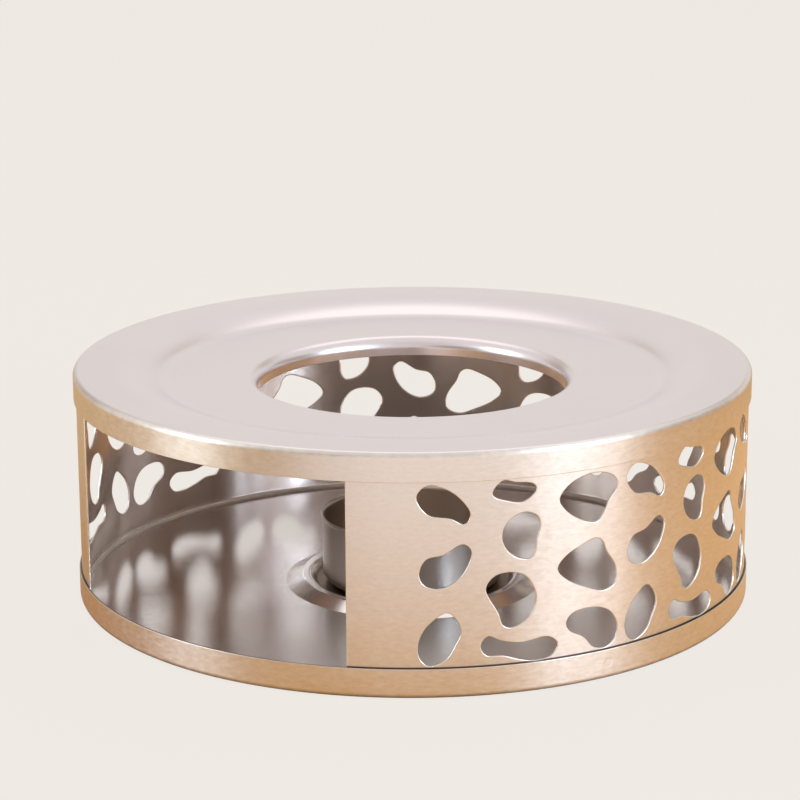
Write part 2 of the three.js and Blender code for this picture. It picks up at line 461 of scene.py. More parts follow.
wall_radius = OUTER_RADIUS - SHEET - WELD_GAP
wall_middle = OUTER_RADIUS - SHEET - FIT_GAP - SHEET / 2
foot_start = SHEET + FOOT_GAP + SHEET + FOOT_BEND
foot_length = (FOOT_BEND + SHEET / 2) * math.pi / 2
wall_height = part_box("side_wall")[1].z - foot_start + foot_length
half_window = WINDOW_WIDTH / 2 / wall_middle
wall_start = WINDOW_ANGLE + half_window - math.pi / 2
wall_length = 2 * math.pi * wall_middle - WINDOW_WIDTH


def edge_steps(length):
    """Places along one side of the blank, closer together on its two rounded edges."""
    rounds = EDGE_ROUND * (1 - np.cos(EDGE_ANGLES))
    even = np.linspace(EDGE_ROUND, length - EDGE_ROUND, round(length / BLANK_CELL))
    return np.concatenate([rounds, even, length - rounds[::-1]])


def edge_sink(places, length):
    """How far the rounded edges lie below the sheet's face at each place."""
    past_round = np.maximum(0, EDGE_ROUND - np.minimum(places, length - places))
    return EDGE_ROUND - np.sqrt(np.maximum(0, EDGE_ROUND**2 - past_round**2))


def blank_mesh():
    """The unpunched strip, closed all round."""
    across = edge_steps(wall_length)
    up = np.union1d(edge_steps(wall_height), np.linspace(EDGE_ROUND, foot_length, FOOT_ROWS))
    columns, rows = len(across), len(up)
    sink = np.maximum.outer(edge_sink(up, wall_height), edge_sink(across, wall_length))
    points = []
    for depth in (sink, SHEET - sink):
        points += [(across[c], depth[r, c], up[r]) for r in range(rows) for c in range(columns)]
    size = columns * rows
    faces = []
    for r in range(rows - 1):
        for c in range(columns - 1):
            a = r * columns + c
            faces.append((a, a + 1, a + columns + 1, a + columns))
            faces.append((size + a, size + a + columns, size + a + columns + 1, size + a + 1))
    top = size - columns
    for c in range(columns - 1):
        faces.append((c, size + c, size + c + 1, c + 1))
        faces.append((top + c, top + c + 1, size + top + c + 1, size + top + c))
    for r in range(rows - 1):
        a = r * columns
        b = a + columns - 1
        faces.append((a, a + columns, size + a + columns, size + a))
        faces.append((b, size + b, size + b + columns, b + columns))
    mesh = bpy.data.meshes.new("wall_blank")
    mesh.from_pydata(points, [], faces)
    return mesh


wall = bpy.data.objects.new("side_wall_rolled", blank_mesh())
bpy.context.scene.collection.objects.link(wall)
print("blank", round(wall_length / MM, 1), "mm long,", len(wall.data.polygons), "faces")

# %% [markdown]
# ## The side wall: the punches
# The pattern is a tile of ten pebbles that repeats along the strip. Each pebble is a smooth closed
# line through a few points, given in millimetres on the tile. Curve objects could hold these lines
# too, but a list of points is easier to stretch to the tile's exact size. Each punch is such an
# outline pushed through the sheet, a little wider where it meets each face, because punching draws
# the edge of the sheet in, and most on the side where the punch leaves. Those soft edges make the
# bright line round each hole.

# %% Pebbles of one tile
TILE_WIDTH = 45.0
TILE_HEIGHT = 38.9
PEBBLES = {
    "comma": [(0.7, 35.8), (2.9, 38.1), (6.8, 37.1), (9.8, 34.6), (11.3, 31.9), (10.2, 30.0),
              (7.6, 31.2), (2.9, 32.2)],
    "bean": [(1.2, 19.8), (2.6, 22.8), (6.0, 23.7), (9.9, 25.8), (11.5, 24.3), (10.4, 20.5),
             (7.9, 17.8), (4.8, 16.7), (2.0, 17.7)],
    "egg": [(0.9, 4.4), (1.9, 7.6), (4.2, 10.2), (6.6, 11.6), (8.3, 10.4), (9.5, 7.4), (8.4, 4.8),
            (6.6, 1.9), (3.2, 0.5), (1.4, 1.9)],
    "sliver": [(15.8, 36.2), (17.9, 38.5), (20.4, 38.0), (24.2, 37.3), (24.8, 36.2), (22.1, 33.9),
               (18.6, 34.4), (16.2, 35.3)],
    "shell": [(17.8, 26.8), (18.8, 29.8), (22.2, 31.6), (25.0, 30.6), (25.7, 28.5), (24.9, 25.8),
              (24.7, 23.5), (23.7, 22.0), (21.1, 22.3), (18.9, 24.0)],
    "mitten": [(14.5, 16.3), (16.2, 18.7), (19.8, 19.3), (22.7, 18.2), (24.9, 13.8), (23.6, 9.9),
               (20.0, 7.7), (18.1, 8.3), (17.1, 11.0), (15.3, 14.1)],
    "banana": [(13.5, 4.3), (14.9, 6.2), (17.5, 5.1), (21.7, 4.3), (27.7, 4.8), (29.7, 3.0),
               (28.3, 0.8), (25.0, 0.2), (21.6, 0.8), (18.2, 1.9), (14.5, 2.3)],
    "leaf": [(29.9, 33.5), (32.3, 36.4), (37.4, 37.9), (42.0, 36.8), (43.4, 34.6), (41.2, 31.8),
             (40.1, 29.5), (38.4, 27.7), (34.2, 28.9), (31.0, 31.4)],
    "wedge": [(29.6, 18.9), (31.2, 21.2), (34.8, 23.1), (38.4, 24.1), (39.9, 23.2), (40.7, 21.2),
              (43.1, 17.4), (43.2, 14.1), (40.3, 12.8), (36.2, 14.1), (31.6, 16.5)],
    "kidney": [(31.6, 7.1), (33.0, 9.0), (39.0, 9.3), (42.4, 7.4), (43.9, 3.8), (42.6, 1.3),
               (40.2, 0.4), (37.8, 1.2), (35.8, 3.5), (32.5, 5.4)],
}

pattern_length = wall_length - PLAIN_START - PLAIN_END
tiles = round(pattern_length / MM / TILE_WIDTH)
pitch = pattern_length / tiles
stretch_along = pitch / TILE_WIDTH
stretch_up = (HEIGHT - PLATE_SKIRT - TRAY_SKIRT) / TILE_HEIGHT
print("tiles", tiles, "pitch", round(pitch / MM, 2), "mm")

# %% Punches of one tile
PEBBLE_POINTS = 44
CURVE_STEPS = 24
OUTER_ROUND = 0.26 * MM
INNER_ROUND = 0.22 * MM
INNER_REACH = 0.4 * MM
PUNCH_REACH = 0.3 * MM
ROUND_ANGLES = np.radians([90, 67.5, 45, 22.5, 0])


def between(first, second, start, end, mark):
    """The point at a mark on the way from a first point at the start to a second at the end."""
    return ((end - mark) * first + (mark - start) * second) / (end - start)


def smooth_outline(knots):
    """Evenly spaced points on a closed smooth curve through the knots, a Catmull-Rom spline."""
    knots = np.array(knots)
    count = len(knots)
    curve = []
    for i in range(count):
        four = [knots[(i + k) % count] for k in (-1, 0, 1, 2)]
        chords = [math.sqrt(np.linalg.norm(four[k + 1] - four[k])) for k in range(3)]
        marks = np.concatenate([[0], np.cumsum(chords)])
        for mark in np.linspace(marks[1], marks[2], CURVE_STEPS, endpoint=False):
            three = [between(four[k], four[k + 1], marks[k], marks[k + 1], mark) for k in range(3)]
            two = [between(three[k], three[k + 1], marks[k], marks[k + 2], mark) for k in range(2)]
            curve.append(between(two[0], two[1], marks[1], marks[2], mark))
    curve = np.array(curve + curve[:1])
    along = np.concatenate([[0], np.cumsum(np.linalg.norm(np.diff(curve, axis=0), axis=1))])
    even = np.linspace(0, along[-1], PEBBLE_POINTS, endpoint=False)
    return np.stack([np.interp(even, along, curve[:, k]) for k in range(2)], 1)


def add_punch(mesh, knots):
    """A closed punch for one pebble: rings of its outline, wider at both faces of the sheet."""
    outline = smooth_outline(knots)[::-1] * np.array([stretch_along, stretch_up])
    ahead = np.roll(outline, -1, 0) - np.roll(outline, 1, 0)
    outward = np.stack([ahead[:, 1], -ahead[:, 0]], 1) / np.linalg.norm(ahead, axis=1)[:, None]
    rings = [(-PUNCH_REACH, OUTER_ROUND + PUNCH_REACH)]
    for angle in ROUND_ANGLES:
        depth = OUTER_ROUND * (1 - math.sin(angle))
        rings.append((depth, OUTER_ROUND * (1 - math.cos(angle))))
    for angle in ROUND_ANGLES[::-1]:
        depth = SHEET - INNER_ROUND * (1 - math.sin(angle))
        rings.append((depth, INNER_REACH * (1 - math.cos(angle))))
    rings.append((SHEET + PUNCH_REACH, INNER_REACH + PUNCH_REACH))
    loops = []
    for depth, wider in rings:
        loop = outline + outward * wider
        loops.append([mesh.verts.new((x, depth, z)) for x, z in loop])
    mesh.faces.new(loops[0])
    mesh.faces.new(loops[-1][::-1])
    for a, b in zip(loops, loops[1:]):
        for i in range(PEBBLE_POINTS):
            j = (i + 1) % PEBBLE_POINTS
            mesh.faces.new((a[i], b[i], b[j], a[j]))


punch_build = bmesh.new()
for knots in PEBBLES.values():
    add_punch(punch_build, knots)
punch_mesh = bpy.data.meshes.new("punches")
punch_build.to_mesh(punch_mesh)
punch_build.free()
punches = bpy.data.objects.new("punches", punch_mesh)
print("punches", len(PEBBLES), "with", len(punch_mesh.polygons), "faces")

# %% [markdown]
# ## The side wall: punching and rolling
# Geometry Nodes do the press work, because the pattern follows a rule: the ten punches stand once
# per tile along the blank, one Mesh Boolean takes them out of the sheet, and Set Position rolls the
# flat strip round the axis. X becomes the angle, depth takes away from the radius, and Z stays up.
# Only the foot differs: it turns in through a quarter circle and runs out thin, so that it meets
# the tray's floor without a step.

# %% Geometry Nodes that punch the blank
press_tree = bpy.data.node_groups.new("punch_and_roll", "GeometryNodeTree")
press = Graph(press_tree)
press_inputs = {}


def press_input(name, kind="NodeSocketFloat"):
    """Adds a named input to the tree and returns its value there."""
    if name not in press_inputs:
        socket = press_tree.interface.new_socket(name, in_out="INPUT", socket_type=kind)
        press_inputs[name] = socket.identifier
    return press.node("NodeGroupInput", output=name)


press_tree.interface.new_socket("Geometry", in_out="OUTPUT", socket_type="NodeSocketGeometry")
blank = press_input("Geometry", "NodeSocketGeometry")
punch_tool = press.node("GeometryNodeObjectInfo", None, {
    "Object": press_input("Punches", "NodeSocketObject"),
}, "Geometry")
first_tile = press.node("ShaderNodeCombineXYZ", None, {
    "X": press_input("First tile"),
    "Z": press_input("Tile foot"),
})
tile_step = press.node("ShaderNodeCombineXYZ", None, {"X": press_input("Pitch")})
tile_points = press.node("GeometryNodeMeshLine", {"mode": "OFFSET"}, {
    "Count": press_input("Tiles", "NodeSocketInt"),
    "Start Location": first_tile,
    "Offset": tile_step,
})
punch_row = press.node("GeometryNodeInstanceOnPoints", None, {
    "Points": tile_points,
    "Instance": punch_tool,
})
punch_solids = press.node("GeometryNodeRealizeInstances", None, {"Geometry": punch_row})
punched = press.node("GeometryNodeMeshBoolean", {"operation": "DIFFERENCE", "solver": "MANIFOLD"}, {
    "Mesh 1": blank,
    "Mesh 2": punch_solids,
})
print("punching takes", len(press_tree.nodes), "nodes")

# %% Geometry Nodes that roll the wall
flat_place = press.node("GeometryNodeInputPosition")
along = press.node("ShaderNodeSeparateXYZ", None, {0: flat_place}, "X")
depth = press.node("ShaderNodeSeparateXYZ", None, {0: flat_place}, "Y")
up = press.node("ShaderNodeSeparateXYZ", None, {0: flat_place}, "Z")
roll_angle = press_input("Start angle")
roll_angle = roll_angle + along / press_input("Middle radius")
foot_angle = press_input("Foot length") - up
foot_angle = foot_angle / press_input("Foot radius")
foot_angle = press.node("ShaderNodeMath", {"operation": "MAXIMUM"}, {0: foot_angle, 1: 0.0})
foot_cosine = press.node("ShaderNodeMath", {"operation": "COSINE"}, {0: foot_angle})
foot_sine = press.node("ShaderNodeMath", {"operation": "SINE"}, {0: foot_angle})
thickness_left = 1 - foot_angle * press_input("Foot thinning")
foot_reach = press_input("Foot outside") - depth * thickness_left
above_foot = press.node("ShaderNodeMath", {"operation": "MAXIMUM"}, {
    0: up - press_input("Foot length"),
    1: 0.0,
})
roll_radius = press_input("Foot centre") + foot_reach * foot_cosine
roll_cosine = press.node("ShaderNodeMath", {"operation": "COSINE"}, {0: roll_angle})
roll_sine = press.node("ShaderNodeMath", {"operation": "SINE"}, {0: roll_angle})
rolled_place = press.node("ShaderNodeCombineXYZ", None, {
    "X": roll_radius * roll_cosine,
    "Y": roll_radius * roll_sine,
    "Z": press_input("Foot start") + above_foot - foot_reach * foot_sine,
})
rolled = press.node("GeometryNodeSetPosition", None, {
    "Geometry": punched,
    "Position": rolled_place,
})
rolled = press.node("GeometryNodeRealizeInstances", None, {"Geometry": rolled})
rolled = press.node("GeometryNodeSetMaterial", None, {
    "Geometry": rolled,
    "Material": press_input("Metal", "NodeSocketMaterial"),
})
press.node("NodeGroupOutput", None, {"Geometry": rolled})
print("punching and rolling take", len(press_tree.nodes), "nodes")

# %% Sizes for the tree
wall_steel = bpy.data.materials.new("wall_finish")
press_settings = {
    "Punches": punches,
    "First tile": PLAIN_START,
    "Tile foot": TRAY_SKIRT - foot_start + foot_length,
    "Pitch": pitch,
    "Tiles": tiles,
    "Start angle": wall_start,
    "Middle radius": wall_middle,
    "Foot length": foot_length,
    "Foot radius": FOOT_BEND + SHEET / 2,
    "Foot thinning": FOOT_THINNING / (math.pi / 2),
    "Foot outside": FOOT_BEND + SHEET,
    "Foot centre": wall_radius - SHEET - FOOT_BEND,
    "Foot start": foot_start,
    "Metal": wall_steel,
}
press_step = wall.modifiers.new("punch_and_roll", "NODES")
press_step.node_group = press_tree
for name, setting in press_settings.items():
    press_step[press_inputs[name]] = setting
print("inputs", list(press_settings))

# %% [markdown]
# The result is read back as a plain mesh, because the press work is done and a plain mesh can get
# its own normals. On both faces of the sheet these point exactly away from the axis or towards it,
# so that the reflections don't show the small flat faces of the grid.

# %% The wall as a plain mesh
ON_FACE = 2e-6

depsgraph = bpy.context.evaluated_depsgraph_get()
wall_mesh = bpy.data.meshes.new_from_object(wall.evaluated_get(depsgraph))
wall_mesh.name = "side_wall_rolled"
bpy.data.objects.remove(wall)
bpy.data.objects.remove(punches)


def set_round_normals(mesh, outer, inner):
    """Gives the points on both faces of a rolled sheet exact normals. Cut edges stay smooth."""
    count = len(mesh.vertices)
    places = np.empty(count * 3, dtype=np.float32)
    normals = np.empty(count * 3, dtype=np.float32)
    mesh.vertices.foreach_get("co", places)
    mesh.shade_smooth()
    mesh.vertex_normals.foreach_get("vector", normals)
    places = places.reshape(-1, 3)
    normals = normals.reshape(-1, 3)
    radius = np.hypot(places[:, 0], places[:, 1])
    radial = places * np.array([1, 1, 0]) / radius[:, None]
    for face_radius, sign in ((outer, 1), (inner, -1)):
        on_face = np.abs(radius - face_radius) < ON_FACE
        normals[on_face] = sign * radial[on_face]
        print("points on the face of radius", round(face_radius / MM, 2), "mm:", int(on_face.sum()))
    mesh.normals_split_custom_set_from_vertices(normals.tolist())


set_round_normals(wall_mesh, wall_radius, wall_radius - SHEET)
wall = add_piece("side_wall_rolled", wall_mesh, "shell", "side_wall")

# %% [markdown]
# ## The finish of the steel
# Stainless sheet for the kitchen is brushed: an abrasive belt leaves fine lines. On the skirts and
# the wall the lines follow the circumference. A picture of brushed steel could be wrapped round
# each piece, but noise has no seam and stays sharp. Its coordinates are made from the Object
# coordinates: the direction from the axis changes slowly along a line, and the distance across the
# lines changes fast. On the skirts that distance runs up, and on flat faces it runs outwards, so
# one formula serves all four pieces. The tray's floor still has the straight lines of the mill,
# which need only X and Y.

# %% Brush lines
STREAK_TURN = 40.0
STREAK_FINE = 1500.0
STRAIGHT_LONG = 90.0
STRAIGHT_FINE = 3500.0
LINE_DETAIL = 4.0
LINE_BREAKS = 0.66
BLOTCH_SCALE = 38.0
BLOTCH_DETAIL = 2.0


def line_noise(graph, place):
    """Noise from 0 to 1, stretched into lines by the coordinates that it gets."""
    return graph.node("ShaderNodeTexNoise", None, {
        "Vector": place,
        "Scale": 1.0,
        "Detail": LINE_DETAIL,
        "Roughness": LINE_BREAKS,
    })


def brush_lines(graph):
    """Round and straight brush lines, slow blotches, and where the point is."""
    place = graph.node("ShaderNodeTexCoord", output="Object")
    x = graph.node("ShaderNodeSeparateXYZ", None, {0: place}, "X")
    y = graph.node("ShaderNodeSeparateXYZ", None, {0: place}, "Y")
    z = graph.node("ShaderNodeSeparateXYZ", None, {0: place}, "Z")
    radius = graph.node("ShaderNodeMath", {"operation": "SQRT"}, {0: x * x + y * y})
    round_place = graph.node("ShaderNodeCombineXYZ", None, {
        "X": x / radius * STREAK_TURN,
        "Y": y / radius * STREAK_TURN,
        "Z": (radius + z) * STREAK_FINE,
    })
    straight_place = graph.node("ShaderNodeCombineXYZ", None, {
        "X": x * STRAIGHT_LONG,
        "Y": y * STRAIGHT_FINE,
    })
    lines = {
        "round": line_noise(graph, round_place),
        "straight": line_noise(graph, straight_place),
    }
    blotches = graph.node("ShaderNodeTexNoise", None, {
        "Vector": place,
        "Scale": BLOTCH_SCALE,
        "Detail": BLOTCH_DETAIL,
    })
    return lines, blotches, {"x": x, "y": y, "z": z, "radius": radius}


print("round lines about", round(1000 / STREAK_FINE, 2), "mm apart")
print("straight lines about", round(1000 / STRAIGHT_FINE, 2), "mm apart")

# %% Brushed steel
NOISE_MIDDLE = 0.5
LINE_SHADE = 0.5
BLOTCH_SHADE = 0.06
LINE_ROUGHNESS = 0.3
BLOTCH_ROUGHNESS = 0.05
LINE_DEPTH = 0.02 * MM
QUARTER_TURN = 0.25
MIX_COLOUR_A = 6
MIX_COLOUR_B = 7
MIX_COLOUR_RESULT = 2


def steel_shader(graph, look, lines, blotches):
    """One steel surface: colour, roughness and bump vary with the brush lines and the blotches."""
    lines = lines[look["brushing"]]
    line = (lines - NOISE_MIDDLE) * look["grain"]
    blotch = blotches - NOISE_MIDDLE
    shade = 1.0 + line * LINE_SHADE + blotch * BLOTCH_SHADE
    grey = graph.node("ShaderNodeCombineColor", None, {"Red": shade, "Green": shade, "Blue": shade})
    tinted = graph.node("ShaderNodeMix", {"data_type": "RGBA", "blend_type": "MULTIPLY"}, {
        "Factor": 1.0,
        MIX_COLOUR_A: (*look["colour"], 1.0),
        MIX_COLOUR_B: grey,
    }, MIX_COLOUR_RESULT)
    bump = graph.node("ShaderNodeBump", None, {
        "Height": lines,
        "Strength": look["bump"],
        "Distance": LINE_DEPTH,
    })
    return graph.node("ShaderNodeBsdfPrincipled", None, {
        "Base Color": tinted,
        "Metallic": 1.0,
        "Roughness": look["roughness"] + line * LINE_ROUGHNESS + blotch * BLOTCH_ROUGHNESS,
        "Anisotropic": look["anisotropy"],
        "Anisotropic Rotation": QUARTER_TURN,
        "Normal": bump,
    })


def finish_steel(material, first, *others):
    """A material with one finish all over, and others on top of it where their masks say."""
    material.use_nodes = True
    graph = Graph(material.node_tree)
    lines, blotches, at = brush_lines(graph)
    shader = steel_shader(graph, first, lines, blotches)
    for look, mask in others:
        shader = graph.node("ShaderNodeMixShader", None, {
            0: mask(graph, at),
            1: shader,
            2: steel_shader(graph, look, lines, blotches),
        })
    graph.node("ShaderNodeOutputMaterial", None, {"Surface": shader})
    print("finished", material.name, "with", 1 + len(others), "finishes")


# %% [markdown]
# The plate's face is a fine even satin, a little cool. Its skirt, the wall and the tray's skirt are
# brushed round and look warmer. The tray's floor was left as it came from the mill, so it mirrors
# the wall, but it is hazy where tealights are pushed in, and painted dark brown round the cup's
# foot as painted shade. The inside of the wall is painted darker and warmer than its outside as
# painted shade, its turned-in foot is matt, and the sheared edges of its holes are bright. The
# drawn cup is painted darker than the other steel as painted shade, its bowl lighter than its
# outside. A dark glossy band in the seam above the tray's edge and on that edge is painted shade.
# Faces could get separate materials, but then every change would be a hard line along a face. So
# each of these is a finish with a mask that says where it is, from the height and the distance from
# the axis.

# %% Looks of the steel


def steel_finish(colour, roughness, anisotropy=0.0, grain=0.1, bump=0.1, brushing="round"):
    """What one steel finish looks like."""
    return {
        "colour": colour,
        "roughness": roughness,
        "anisotropy": anisotropy,
        "grain": grain,
        "bump": bump,
        "brushing": brushing,
    }


BRUSHED = steel_finish((0.82, 0.785, 0.755), roughness=0.40, anisotropy=0.8, grain=0.8, bump=0.3)
SATIN = steel_finish((0.795, 0.745, 0.78), roughness=0.29, grain=0.08, bump=0.08)
MILL = steel_finish((0.75, 0.71, 0.72), roughness=0.10, bump=0.8, brushing="straight")
WORN = steel_finish((0.80, 0.76, 0.76), roughness=0.23, bump=0.3, brushing="straight")
HAZE = steel_finish((0.80, 0.76, 0.76), roughness=0.42, bump=0.3, brushing="straight")
# painted shade: dark brown on the tray's floor round the cup's foot, standing in for the shade there
CUP_SHADE = steel_finish((0.30, 0.235, 0.195), roughness=0.32)
# painted shade: the same sheet as the outside, painted darker and warmer on the wall's inside
SHADED_INSIDE = steel_finish((0.58, 0.50, 0.455), roughness=0.20, anisotropy=0.8, bump=0.05)
TURNED = steel_finish((0.84, 0.79, 0.75), roughness=0.55)
SHEARED = steel_finish((0.92, 0.90, 0.87), roughness=0.25, grain=0.05, bump=0.05)
# painted shade: dark glossy steel standing in for the shade in the seam between wall and tray
SEAM_SHADE = steel_finish((0.20, 0.155, 0.13), roughness=0.35)
# painted shade: the cup is the same steel, painted darker for the dim chamber, its bowl less so
SHADED_DRAWN = steel_finish((0.46, 0.415, 0.38), roughness=0.34, anisotropy=0.3, grain=0.15, bump=0.15)
SHADED_BOWL = steel_finish((0.60, 0.52, 0.46), roughness=0.30, anisotropy=0.3, grain=0.15, bump=0.15)
print("brushed steel", BRUSHED)

# %% Where the finishes of plate, tray and cup are
HAZE_SHARE = 0.07
WORN_HAZE_SHARE = 0.23
PLATE_FACE = (0.3 * MM, 0.8 * MM)
TRAY_FLOOR = (0.3 * MM, 0.5 * MM)
WORN_ACROSS = (-50 * MM, -15 * MM)
WORN_FORWARD = (-15 * MM, -50 * MM)
TRAY_EDGE_INWARDS = (0.05 * MM, 0.15 * MM)
TRAY_EDGE_HEIGHT = (TRAY_SKIRT - 0.16 * MM, TRAY_SKIRT - 0.06 * MM)
CUP_INSIDE = (0.2 * MM, 0.3 * MM)


def smooth_step(graph, value, limits):
    """A value that goes smoothly from 0 to 1 while another goes from one limit to the other."""
    return graph.node("ShaderNodeMapRange", {"interpolation_type": "SMOOTHSTEP"}, {
        "Value": value,
        "From Min": limits[0],
        "From Max": limits[1],
    })


def on_plate_face(graph, at):
    return smooth_step(graph, OUTER_RADIUS - at["radius"], PLATE_FACE)


def on_tray_floor(graph, at):
    return smooth_step(graph, OUTER_RADIUS - at["radius"], TRAY_FLOOR)


def worn_part(graph, at):
    beside_window = smooth_step(graph, at["x"], WORN_ACROSS)
    in_front = smooth_step(graph, at["y"], WORN_FORWARD)
    return on_tray_floor(graph, at) * beside_window * in_front


def haze_on_floor(graph, at):
    worn = worn_part(graph, at)
    return on_tray_floor(graph, at) * (HAZE_SHARE + worn * (WORN_HAZE_SHARE - HAZE_SHARE))


# painted shade round the cup's foot, out over the bead's inner slope
def cup_shade_area(graph, at):
    return 1 - smooth_step(graph, at["radius"], (bead_radius, bead_top_start))


# painted shade on the inner half of the tray's cut top edge, in the seam
def shade_on_tray_edge(graph, at):
    inner_part = smooth_step(graph, OUTER_RADIUS - at["radius"], TRAY_EDGE_INWARDS)
    return inner_part * smooth_step(graph, at["z"], TRAY_EDGE_HEIGHT)


def in_cup(graph, at):
    return smooth_step(graph, CUP_RADIUS - at["radius"], CUP_INSIDE)


# how far from the axis the painted shade round the cup reaches
print("painted cup shade out to", round(bead_top_start / MM, 2), "mm from the axis")

# %% Where the finishes of the wall are
INNER_SIDE = (0.42 * MM, 0.48 * MM)
OUTER_FACE_END = (0.02 * MM, 0.08 * MM)
FOOT_INWARDS = (0.05 * MM, 0.25 * MM)
SEAM_SHADE_HEIGHT = (-0.35 * MM, -0.12 * MM)


def on_inner_side(graph, at):
    return smooth_step(graph, wall_radius - at["radius"], INNER_SIDE)


def on_foot(graph, at):
    return smooth_step(graph, wall_radius - SHEET - at["radius"], FOOT_INWARDS)


def past_outer_face(graph, at):
    return smooth_step(graph, wall_radius - at["radius"], OUTER_FACE_END)


def on_cut_edge(graph, at):
    return past_outer_face(graph, at) - on_inner_side(graph, at)


# painted shade on the wall's outer face just above the tray's edge
def seam_shade_above_tray(graph, at):
    low = smooth_step(graph, TRAY_SKIRT - at["z"], SEAM_SHADE_HEIGHT)
    return low * (1 - past_outer_face(graph, at))


print("seam", -SEAM_SHADE_HEIGHT[0] / MM, "mm high")

# %% Materials of the four pieces
plate_steel = bpy.data.materials.new("plate_finish")
finish_steel(plate_steel, BRUSHED, (SATIN, on_plate_face))
tray_steel = bpy.data.materials.new("tray_finish")
tray_looks = [
    (MILL, on_tray_floor),
    (WORN, worn_part),
    (HAZE, haze_on_floor),
    (CUP_SHADE, cup_shade_area),
    (SEAM_SHADE, shade_on_tray_edge),
]
finish_steel(tray_steel, BRUSHED, *tray_looks)
wall_looks = [
    (SHADED_INSIDE, on_inner_side),
    (TURNED, on_foot),
    (SHEARED, on_cut_edge),
    (SEAM_SHADE, seam_shade_above_tray),
]
finish_steel(wall_steel, BRUSHED, *wall_looks)
cup_steel = bpy.data.materials.new("cup_finish")
finish_steel(cup_steel, SHADED_DRAWN, (SHADED_BOWL, in_cup))
finished = ((plate, plate_steel), (tray, tray_steel), (wall, wall_steel), (cup, cup_steel))
for piece, material in finished:
    piece.data.materials.clear()
    piece.data.materials.append(material)

# %% [markdown]
# ## Floor, cards and light
# Polished metal shows its surroundings, so the studio is part of the look. The floor and the world
# are pale. What the steel mirrors is laid out as a photographer would do it, with cards that only
# reflections see. A warm one lies round the warmer, where a wooden table would be: darker on the
# left, paler far in front, and nearly black right under the edge. Others, darker than the room,
# stand in front, behind and at both sides, so that the steel gets its dark tones. One large soft
# light hangs above, and slightly cool ones stand at the sides. A picture of a real room could light
# the scene too, but plain cards can be moved one by one.

# %% Floor and world
PALE = (0.871, 0.831, 0.783)
PLAIN_SHARE = 0.92
WORLD_LIGHT = 0.8
FLOOR_HALF = 3.0
FLOOR_HEIGHT = -0.05 * MM


def pale_mask(graph):
    """Rays that look at the background itself: from the camera, from a mirror or through glass."""
    camera_ray = graph.node("ShaderNodeLightPath", output="Is Camera Ray")
    glossy_ray = graph.node("ShaderNodeLightPath", output="Is Glossy Ray")
    through_ray = graph.node("ShaderNodeLightPath", output="Is Transmission Ray")
    either = graph.node("ShaderNodeMath", {"operation": "MAXIMUM"}, {0: camera_ray, 1: glossy_ray})
    return graph.node("ShaderNodeMath", {"operation": "MAXIMUM"}, {0: either, 1: through_ray})


world = bpy.data.worlds.new("studio")
world.use_nodes = True
sky = Graph(world.node_tree)
sky_background = sky.node("ShaderNodeBackground", None, {
    "Color": (*PALE, 1.0),
    "Strength": WORLD_LIGHT + pale_mask(sky) * (1 - WORLD_LIGHT),
})
sky.node("ShaderNodeOutputWorld", None, {"Surface": sky_background})
bpy.context.scene.world = world


def flat_mesh(name, corners):
    """One flat face as an object of the studio."""
    mesh = bpy.data.meshes.new(name)
    mesh.from_pydata(corners, [], [range(len(corners))])
    made = bpy.data.objects.new(name, mesh)
    bpy.context.scene.collection.objects.link(made)
    return made


def square(half, height):
    """The corners of a level square."""
    signs = ((-1, -1), (1, -1), (1, 1), (-1, 1))
    return [(x * half, y * half, height) for x, y in signs]


floor = flat_mesh("floor", square(FLOOR_HALF, FLOOR_HEIGHT))
floor_paint = bpy.data.materials.new("floor_paint")
floor_paint.use_nodes = True
paint = Graph(floor_paint.node_tree)
matt = paint.node("ShaderNodeBsdfDiffuse", None, {"Color": (*PALE, 1.0)})
plain = paint.node("ShaderNodeEmission", None, {"Color": (*PALE, 1.0), "Strength": 1.0})
mixed = paint.node("ShaderNodeMixShader", None, {
    0: pale_mask(paint) * PLAIN_SHARE,
    1: matt,
    2: plain,
})
paint.node("ShaderNodeOutputMaterial", None, {"Surface": mixed})
floor.data.materials.append(floor_paint)
print("floor", 2 * FLOOR_HALF, "m wide")

# %% A table that only reflections see


def reflected_only(card):
    """Hides a card from everything but mirror reflections."""
    card.visible_camera = False
    card.visible_diffuse = False
    card.visible_shadow = False
    card.visible_transmission = False
    card.visible_volume_scatter = False


TABLE_HALF = 1.2
TABLE_HEIGHT = -0.02 * MM
TABLE_REACH = 200 * MM
LEFT_TO_RIGHT = (-0.5, 0.5)
FRONT_EDGE = (math.radians(20), math.radians(46))
SHADOW_EDGE = (1.5 * MM, -0.8 * MM)
SHADOW = (0.10, 0.06, 0.04)
TABLE_COLOURS = {
    "left": [(10, (0.46, 0.20, 0.045)), (120, (0.66, 0.405, 0.175))],
    "right": [(10, (0.76, 0.42, 0.157)), (80, (1.05, 0.565, 0.205)), (170, (0.60, 0.33, 0.103))],
    "front": [(10, (0.71, 0.36, 0.10)), (140, (1.25, 1.14, 1.11))],
}


